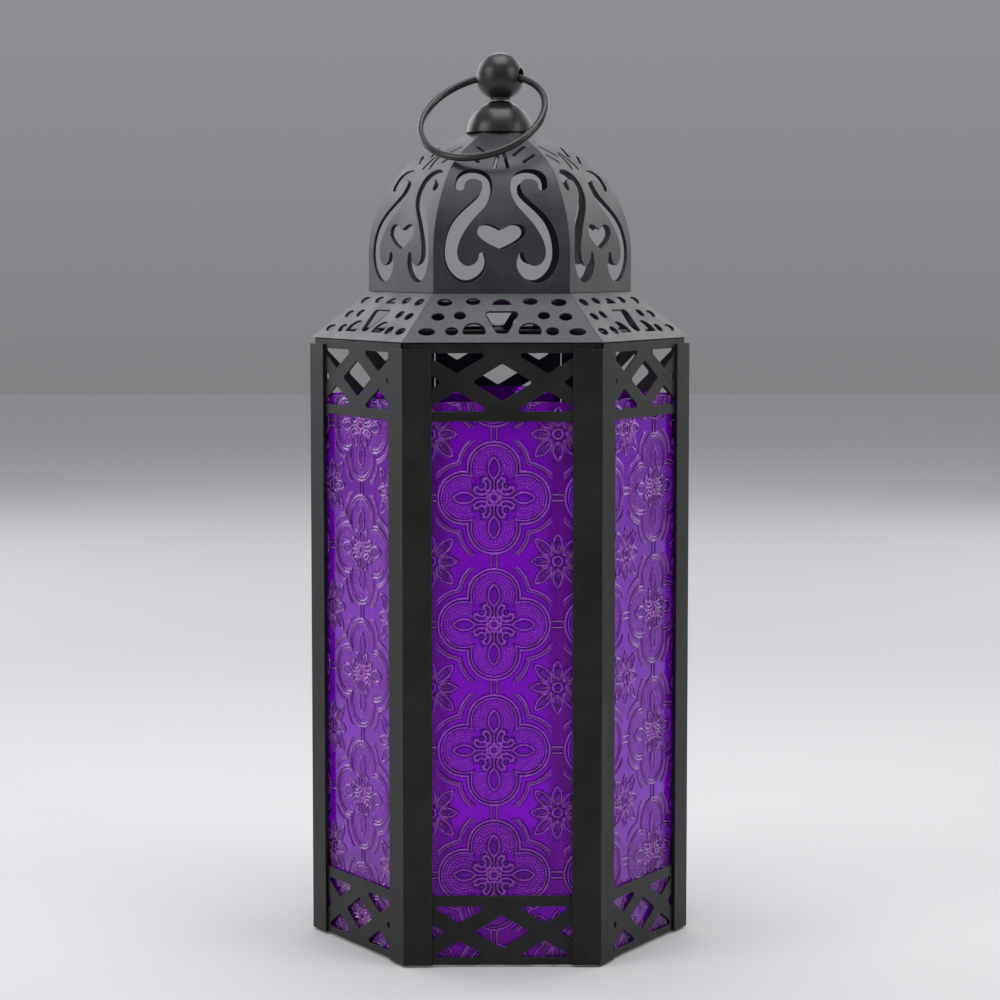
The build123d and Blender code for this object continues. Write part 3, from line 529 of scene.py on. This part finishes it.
def softened_copy(node, name, width, material, body, dissolve=0.6, bend=None):
    """Copy of a sheet part with every cut and folded edge rounded over."""
    bm = bmesh.new()
    bm.from_mesh(NODES[node].data)
    bmesh.ops.remove_doubles(bm, verts=bm.verts, dist=2e-6)
    bmesh.ops.dissolve_limit(bm, angle_limit=math.radians(dissolve), use_dissolve_boundaries=False,
                             verts=bm.verts, edges=bm.edges)
    sharp = [e for e in bm.edges if e.is_manifold and e.calc_face_angle(0.0) > math.radians(38)]
    bmesh.ops.bevel(bm, geom=sharp, offset=width, offset_type="OFFSET", segments=2, profile=0.5,
                    affect="EDGES", material=-1, clamp_overlap=False)
    bm.normal_update()
    normals = flat_normals(bm)
    piece = finish_piece(name, bm, material, body, [node])
    if bend is not None:
        normals = bend(corner_points(piece.data), normals)
    piece.data.normals_split_custom_set_from_vertices(normals.tolist())
    return piece


def outline_above(points):
    """Outer profile, from bottom to top, of points given as (height, reach)."""
    ordered = points[np.lexsort((-points[:, 1], points[:, 0]))]
    hull = []
    for point in ordered:
        while len(hull) > 1 and np.cross(hull[-1] - hull[-2], point - hull[-2]) >= -1e-12:
            hull.pop()
        hull.append(point)
    return np.array(hull)


def curved_normals(node, angle):
    """Rule that gives the outer corners of one gore the smooth directions of its curved sheet."""
    out = np.array(pane_axes(angle)[1])
    source = corner_points(NODES[node].data)
    profile = outline_above(np.stack([source[:, 2], source @ out], axis=1))
    profile = profile[:np.argmax(profile[:, 0]) + 1]
    steps = np.hypot(*np.diff(profile, axis=0).T)
    run = np.concatenate([[0.0], np.cumsum(steps)])
    fine = np.linspace(0, run[-1], 500)
    line = np.stack([np.interp(fine, run, profile[:, i]) for i in (0, 1)], axis=1)
    slope = np.gradient(line, fine, axis=0)
    slope = np.stack([np.convolve(np.pad(slope[:, i], 12, "edge"), np.full(25, 1 / 25), "valid")
                      for i in (0, 1)], axis=1)

    def bend(places, normals):
        spots = np.stack([places[:, 2], places @ out], axis=1)
        gaps = np.linalg.norm(spots[:, None] - line[None], axis=2)
        nearest = gaps.argmin(axis=1)
        gap = gaps[np.arange(len(spots)), nearest]
        facing = slope[nearest, 0][:, None] * out
        facing[:, 2] -= slope[nearest, 1]
        facing /= np.linalg.norm(facing, axis=1)[:, None]
        outer = gap < DEPTH_SLACK
        wall_end = np.abs(gap - CUT_WALL_DEPTH) < DEPTH_SLACK
        normals[outer] = facing[outer]
        normals[wall_end] = -facing[wall_end]
        return normals

    return bend


def turned(profile, centre, steps=64):
    """Bmesh of a profile of (radius, height) points turned about a vertical axis."""
    bm = bmesh.new()
    verts = [bm.verts.new((centre[0] + r, centre[1], centre[2] + z)) for r, z in profile]
    edges = [bm.edges.new(pair) for pair in zip(verts, verts[1:])]
    bmesh.ops.spin(bm, geom=verts + edges, cent=centre, axis=(0, 0, 1), angle=math.tau,
                   steps=steps, use_merge=True)
    bmesh.ops.remove_doubles(bm, verts=bm.verts, dist=1e-6)
    bmesh.ops.recalc_face_normals(bm, faces=bm.faces)
    return bm


def arc(radius, start, end, count, rise):
    """Points of (radius, height) along part of an ellipse, from one angle to another in degrees."""
    steps = np.linspace(math.radians(start), math.radians(end), count)
    return [(radius * math.cos(a), rise * math.sin(a)) for a in steps]


# ------------------------------------------------------------------ embossed glass
def ridge(distance, half_width):
    """Rounded bump of height 1 about a line."""
    return np.clip(1.0 - (distance / half_width) ** 2, 0.0, 1.0)


def pointed_oval(along, across, half_length, half_width):
    """Signed distance to a pointed oval."""
    radius = (half_length ** 2 + half_width ** 2) / (2 * half_width)
    shift = radius - half_width
    return np.hypot(np.abs(across) + shift, along) - radius


def cushion(distance, depth):
    """Height of a softly crowned shape from its signed distance."""
    return np.sqrt(np.clip(-distance / depth, 0.0, 1.0))


def emboss(u, v, relief, spread=1.0):
    """Height of the pressed pattern at points of a pane, in millimetres, and where beads stand."""
    def line(distance, half_width):
        return ridge(distance, half_width * spread)

    pitch = relief.pitch
    x = (u + pitch / 2) % pitch - pitch / 2
    y = (v + pitch / 2) % pitch - pitch / 2
    height = np.zeros_like(x)

    centres = ((LOBE_REACH, 0), (-LOBE_REACH, 0), (0, LOBE_REACH), (0, -LOBE_REACH))
    distances = np.stack([np.hypot(x - cx, y - cy) for cx, cy in centres])
    outline = distances.min(axis=0) - LOBE_RADIUS
    for offset, half_width, tall in LOBE_LINES:
        height += relief.ridge * tall * line(outline - offset, half_width)
    major, minor = np.maximum(np.abs(x), np.abs(y)), np.minimum(np.abs(x), np.abs(y))
    link = relief.ridge * 0.9 * line(minor - LINK_HALF_GAP, 0.4)
    height = np.where(major > LINK_START, link, height)

    leaf = np.full_like(x, 9.0)
    for index, (cx, cy) in enumerate(centres):
        along, across = (x - cx, y - cy) if index < 2 else (y - cy, x - cx)
        leaf = np.minimum(leaf, pointed_oval(along, across, LEAF_HALF_LENGTH, LEAF_HALF_WIDTH))
    height += relief.ridge * (0.95 * line(leaf, 0.42) + 0.35 * cushion(leaf + 0.5, 0.6))

    centre_distance = np.hypot(x, y)
    star = (np.abs(x) ** 0.7 + np.abs(y) ** 0.7) / STAR_REACH ** 0.7
    height += relief.ridge * 0.9 * line(star - 1.0, 0.22)
    stem = line(minor, 0.42) * (major > STAR_REACH) * (major < LOBE_REACH - STEM_GAP)
    height = np.maximum(height, relief.ridge * 0.8 * stem)
    curl_x, curl_y = np.abs(x) - CURL_PLACE, np.abs(y) - CURL_PLACE
    curl = np.hypot(curl_x, curl_y)
    inward = (curl_x + curl_y) < 1.5
    band = np.abs(curl - CURL_RADIUS) - CURL_HALF_BAND
    height += relief.ridge * (line(band, 0.42) * inward + 0.8 * line(curl, 0.5))
    far, near = CURL_TIP
    tips = np.minimum(np.hypot(curl_x - far, curl_y - near), np.hypot(curl_x - near, curl_y - far))
    height += relief.ridge * 0.9 * line(tips, 0.95)
    beaded = np.clip((-1.9 - outline) / 0.4, 0, 1) * np.clip((leaf - 0.9) / 0.4, 0, 1)
    beaded *= np.clip((centre_distance - 7.0) / 0.6, 0, 1) * np.clip((curl - 3.5) / 0.4, 0, 1)

    flower_x = pitch / 2 - np.abs(x)
    flower_y = pitch / 2 - np.abs(y)
    reach = np.hypot(flower_x, flower_y)
    angle = np.arctan2(flower_y, flower_x)
    for start, middle, half_length, half_width, petals in PETALS:
        share = math.tau / petals
        folded = (angle - start + share / 2) % share - share / 2
        along, across = reach * np.cos(folded) - middle, reach * np.sin(folded)
        petal = pointed_oval(along, across, half_length, half_width)
        inside = (petal < 0) * (along < 0.35 * half_length)
        if petals == 4:
            height = np.maximum(height, relief.ridge * 0.9 * line(petal, 0.38))
            for stripe in PETAL_VEINS:
                vein = line(across - stripe * np.clip(1 + along / half_length, 0, 1), 0.27)
                height = np.maximum(height, relief.ridge * 0.65 * vein * inside)
        else:
            height = np.maximum(height, relief.ridge * 0.75 * cushion(petal, 0.4))
    height = np.where(reach < FLOWER_CLEARING, 0.0, height)
    height += relief.ridge * (0.95 * line(reach - FLOWER_RING, 0.42) + 0.6 * line(reach, 0.6))
    return height, beaded


def pane_axes(angle):
    """Directions of one face: along it, and out of it."""
    a = math.radians(angle)
    return Vector((-math.sin(a), math.cos(a), 0)), Vector((math.cos(a), math.sin(a), 0))


def corner_points(mesh):
    """All corner points of a mesh as an array."""
    points = np.zeros(len(mesh.vertices) * 3)
    mesh.vertices.foreach_get("co", points)
    return points.reshape(-1, 3)


def spaced(start, stops):
    """Positions that run through stops of (end, cells), for a grid that is fine where it shows."""
    places = [start]
    for end, cells in stops:
        places.extend(np.linspace(places[-1], end, cells + 1)[1:])
    return np.array(places)


def glass_pane(face, relief, material):
    """One pane with its outer face pressed into the pattern and its inner face plain."""
    node = f"glass_pane_{face}"
    along, out = pane_axes(FACE_ANGLES[DOOR_FACE if face == "door" else face])
    points = corner_points(NODES[node].data)
    across = points @ np.array(along)
    depth = points @ np.array(out)
    half = across.max()
    low, high = points[:, 2].min(), points[:, 2].max()
    outer, inner = depth.max(), depth.min()
    side = min(half - PANE_EDGE, WINDOW_HALF)
    columns = spaced(-half, ((-side, 2), (side, relief.columns), (half, 2)))
    rows = spaced(low, ((WINDOW_LOW, 44), (WINDOW_HIGH, relief.rows), (high, 12)))
    bm = bmesh.new()
    bmesh.ops.create_grid(bm, x_segments=len(columns) - 1, y_segments=len(rows) - 1, size=1.0)
    verts = list(bm.verts)
    unit = np.array([v.co[:2] for v in verts])
    column = np.rint((unit[:, 0] + 1) / 2 * (len(columns) - 1)).astype(int)
    row = np.rint((unit[:, 1] + 1) / 2 * (len(rows) - 1)).astype(int)
    u, v = columns[column], rows[row]
    start_u, start_v = PATTERN_STARTS[face]
    height, beaded = emboss(u / MM - start_u, v / MM - start_v, relief)
    height *= MM
    top = 1.15 * relief.ridge * MM
    front = outer - PANE_MARGIN - top + np.minimum(height, top)
    places = np.outer(u, np.array(along)) + np.outer(front, np.array(out))
    places[:, 2] = v
    for vert, place in zip(verts, places):
        vert.co = place
    rim = [e for e in bm.edges if e.is_boundary]
    skirt = bmesh.ops.extrude_edge_only(bm, edges=rim)["geom"]
    lowered = [g for g in skirt if isinstance(g, bmesh.types.BMVert)]
    for vert in lowered:
        vert.co += out * (inner - vert.co.dot(out))
    back_rim = [g for g in skirt if isinstance(g, bmesh.types.BMEdge) and g.is_boundary]
    bmesh.ops.edgeloop_fill(bm, edges=back_rim)
    bmesh.ops.recalc_face_normals(bm, faces=bm.faces)
    body = "door" if face == "door" else "frame"
    pane = finish_piece(f"pressed_pane_{face}", bm, material, body, [node], 60.0)
    mesh = pane.data
    # The halo is a broad band round the ridges where shade is painted into the glass colour.
    halo = emboss(u / MM - start_u, v / MM - start_v, relief, 2.3)[0] * MM
    # raised and beaded mark where the painted highlight goes; shaded marks where the painted shade
    # goes.
    for name, values in (("beaded", beaded), ("raised", np.clip(height / top, 0, 1)),
                         ("shaded", np.clip(halo / top, 0, 1))):
        spots = np.zeros(len(mesh.vertices))
        spots[:len(values)] = values
        mesh.attributes.new(name, "FLOAT", "POINT").data.foreach_set("value", spots)
    places = corner_points(mesh) / MM
    pattern = np.stack([(places @ np.array(along) - start_u), places[:, 2] - start_v], axis=1)
    corners = np.zeros(len(mesh.loops), dtype=np.int64)
    mesh.loops.foreach_get("vertex_index", corners)
    layer = mesh.uv_layers.new(name="pattern")
    layer.uv.foreach_set("vector", (pattern[corners] / relief.pitch).ravel())
    return pane


# ------------------------------------------------------------------ operators
class LANTERN_OT_stage(bpy.types.Operator):
    """Add the studio floor, soft lights and camera"""

    bl_idname = "lantern.stage"
    bl_label = "Studio"

    def execute(self, context):
        stage = context.scene.lantern_stage
        bm = bmesh.new()
        bmesh.ops.create_grid(bm, x_segments=8, y_segments=8, size=4.0)
        mesh = bpy.data.meshes.new("studio_floor")
        bm.to_mesh(mesh)
        bm.free()
        floor = bpy.data.objects.new("studio_floor", mesh)
        context.scene.collection.objects.link(floor)
        mesh.materials.append(studio_floor(stage.floor, stage.surround))
        self.add_world(context.scene)
        middle = Vector((0, 0, 0.17))
        for name, place, size, power, colour in (
            ("top_softbox", (0.05, -0.25, 1.9), 1.4, 20.0, (0.96, 0.98, 1.0)),
            ("front_left_softbox", (-1.5, -0.9, 0.9), 1.0, 10.0, (1.0, 1.0, 1.0)),
            ("front_right_softbox", (1.5, -0.9, 0.9), 1.0, 8.0, (1.0, 0.99, 0.98)),
            ("back_left_softbox", (-1.1, 1.15, 0.72), 1.2, 11.0, (0.96, 0.97, 1.0)),
            ("back_right_softbox", (1.04, 1.2, 0.72), 1.2, 7.5, (1.0, 0.99, 0.97)),
            ("back_softbox", (0.0, 1.8, 1.5), 1.1, 6.0, (0.97, 0.98, 1.0)),
        ):
            light = bpy.data.lights.new(name, "AREA")
            light.size = size
            light.energy = power
            light.color = colour
            lamp = bpy.data.objects.new(name, light)
            lamp.location = place
            lamp.rotation_euler = (middle - Vector(place)).to_track_quat("-Z", "Y").to_euler()
            context.scene.collection.objects.link(lamp)
        self.add_camera(context.scene, stage)
        context.scene.view_settings.view_transform = "Standard"
        return {"FINISHED"}

    def add_world(self, scene):
        """Pale even surroundings, brighter overhead."""
        world = bpy.data.worlds.new("Studio World")
        world.use_nodes = True
        tree = world.node_tree
        place = tree.nodes.new("ShaderNodeTexCoord")
        split = tree.nodes.new("ShaderNodeSeparateXYZ")
        tree.links.new(place.outputs["Generated"], split.inputs[0])
        height = ramp_node(tree, split.outputs["Z"], -0.1, 0.7)
        tone = mix_colour(tree, height.outputs["Result"], (0.2, 0.202, 0.207), (0.5, 0.52, 0.58))
        background = tree.nodes["Background"]
        tree.links.new(tone, background.inputs["Color"])
        background.inputs["Strength"].default_value = 1.0
        scene.world = world

    def add_camera(self, scene, stage):
        """Camera a little above the middle of the lantern, looking slightly down."""
        data = bpy.data.cameras.new("camera")
        data.lens = stage.lens
        data.sensor_width = 36.0
        camera = bpy.data.objects.new("camera", data)
        camera.location = (math.sin(stage.turn) * stage.distance,
                           -math.cos(stage.turn) * stage.distance, stage.height)
        camera.rotation_euler = (math.radians(90) - stage.tilt, 0, stage.turn)
        scene.collection.objects.link(camera)
        scene.camera = camera


class LANTERN_OT_panes(bpy.types.Operator):
    """Press the violet panes"""

    bl_idname = "lantern.panes"
    bl_label = "Glass panes"

    def execute(self, context):
        material = finishes(context.scene)["Violet Pressed Glass"]
        for face in PATTERN_STARTS:
            glass_pane(face, context.scene.lantern_relief, material)
        return {"FINISHED"}


class LANTERN_OT_casing(bpy.types.Operator):
    """Make the corner posts, side panels and door with rounded sheet edges"""

    bl_idname = "lantern.casing"
    bl_label = "Posts and panels"

    def execute(self, context):
        width = context.scene.lantern_finish.edge_round
        coat = finishes(context.scene)["Black Powder Coat"]
        for corner in CORNER_NAMES:
            softened_copy(f"corner_post_{corner}", f"folded_post_{corner}", width, coat, "frame")
        for face in FACE_ANGLES:
            if face != DOOR_FACE:
                softened_copy(f"side_panel_{face}", f"pierced_panel_{face}", width, coat, "frame")
        softened_copy("door_panel", "pierced_door", width, coat, "door")
        return {"FINISHED"}


class LANTERN_OT_roof(bpy.types.Operator):
    """Make the pierced skirt facets and the gores of the dome"""

    bl_idname = "lantern.roof"
    bl_label = "Roof"

    def execute(self, context):
        width = context.scene.lantern_finish.edge_round
        coat = finishes(context.scene)["Roof Powder Coat"]
        for face in FACE_ANGLES:
            softened_copy(f"roof_skirt_{face}", f"skirt_facet_{face}", width, coat, "frame")
            gore = f"dome_gore_{face}"
            softened_copy(gore, f"pressed_gore_{face}", width, coat, "frame",
                          bend=curved_normals(gore, FACE_ANGLES[face]))
        return {"FINISHED"}


class LANTERN_OT_finial(bpy.types.Operator):
    """Spin the cup, soften the ball, bend the ring and finish the collar"""

    bl_idname = "lantern.finial"
    bl_label = "Finial and ring"

    def execute(self, context):
        satin = finishes(context.scene)["Finial Satin Black"]
        low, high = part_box("finial_cup")
        radius, tall = (high.x - low.x) / 2, high.z - low.z
        outer = arc(radius, 3, 84, 22, tall)
        inner = arc(radius - CUP_WALL, 84, 0, 22, tall - CUP_WALL)
        foot = [(radius - 0.3 * MM, 0.0), (radius, 0.35 * MM)]
        profile = inner[-1:] + foot + outer + inner
        bm = turned(profile, Vector((0, 0, low.z)), 72)
        finish_piece("spun_cup", bm, satin, "frame", ["finial_cup"], 40.0)
        softened_copy("finial_ball", "turned_ball", BALL_EDGE, satin, "frame")
        self.add_ring(satin)
        dress("finial_collar", satin)
        return {"FINISHED"}

    def add_ring(self, satin):
        """Wire ring: a bent and welded rod that lies in the ring's own plane."""
        points = corner_points(NODES["carry_ring"].data)
        centre = Vector((points.max(axis=0) + points.min(axis=0)) / 2)
        spread = points - np.array(centre)
        _, _, axes = np.linalg.svd(spread, full_matrices=False)
        normal = Vector(axes[2])
        wire = (spread @ axes[2]).max()
        reach = np.linalg.norm(spread, axis=1).max() - wire
        across = Vector(axes[0])
        bm = bmesh.new()
        section = bmesh.ops.create_circle(bm, cap_ends=False, radius=wire, segments=20)["verts"]
        turn = Matrix((across, normal, across.cross(normal))).transposed()
        for vert in section:
            vert.co = centre + across * reach + turn @ Vector((vert.co.x, vert.co.y, 0))
        bmesh.ops.spin(bm, geom=section + list(bm.edges), cent=centre, axis=normal,
                       angle=math.tau, steps=120, use_merge=True)
        bmesh.ops.remove_doubles(bm, verts=bm.verts, dist=1e-6)
        bmesh.ops.recalc_face_normals(bm, faces=bm.faces)
        finish_piece("wire_ring", bm, satin, "ring", ["carry_ring"], 60.0)


def dress(node, material):
    """Give a CAD node that keeps its shape its finish."""
    mesh = NODES[node].data
    mesh.materials.clear()
    mesh.materials.append(material)


class LANTERN_OT_fittings(bpy.types.Operator):
    """Give the hinges, latch, rivets and inner parts their finish"""

    bl_idname = "lantern.fittings"
    bl_label = "Fittings"

    def execute(self, context):
        looks = finishes(context.scene)
        by_slot = {"inner_metal": "Inner Matte Black", "plate_metal": "Bare Zinc Sheet",
                   "zinc_steel": "Zinc Plated Steel", "hardware_metal": "Hardware Satin Black",
                   "finial_metal": "Finial Satin Black"}
        shown = {s["node"]: s["material_slot"] for s in frame["record"]["subparts"]}
        for node, slot in shown.items():
            if not NODES[node].hide_render and slot in by_slot:
                dress(node, looks[by_slot[slot]])
        return {"FINISHED"}


class LANTERN_PT_panel(bpy.types.Panel):
    """Lantern tools in the sidebar"""

    bl_idname = "LANTERN_PT_panel"
    bl_label = "Candle Lantern"
    bl_space_type = "VIEW_3D"
    bl_region_type = "UI"
    bl_category = "Lantern"

    def draw(self, context):
        scene = context.scene
        for settings in (scene.lantern_stage, scene.lantern_relief, scene.lantern_finish):
            box = self.layout.box()
            for name in settings.__annotations__:
                box.prop(settings, name)
        for operator in OPERATORS:
            self.layout.operator(operator.bl_idname)


OPERATORS = (LANTERN_OT_stage, LANTERN_OT_panes, LANTERN_OT_casing, LANTERN_OT_roof,
             LANTERN_OT_finial, LANTERN_OT_fittings)
CLASSES = (LanternRelief, LanternFinish, LanternStage, *OPERATORS, LANTERN_PT_panel)


def register():
    """Register the classes and hang their settings on the scene."""
    for cls in CLASSES:
        bpy.utils.register_class(cls)
    bpy.types.Scene.lantern_relief = PointerProperty(type=LanternRelief)
    bpy.types.Scene.lantern_finish = PointerProperty(type=LanternFinish)
    bpy.types.Scene.lantern_stage = PointerProperty(type=LanternStage)


def unregister():
    """Take the settings and classes away again."""
    del bpy.types.Scene.lantern_stage
    del bpy.types.Scene.lantern_finish
    del bpy.types.Scene.lantern_relief
    for cls in reversed(CLASSES):
        bpy.utils.unregister_class(cls)


def main():
    register()
    bpy.ops.lantern.stage()
    bpy.ops.lantern.panes()
    bpy.ops.lantern.casing()
    bpy.ops.lantern.roof()
    bpy.ops.lantern.finial()
    bpy.ops.lantern.fittings()


if __name__ == "__main__":
    main()
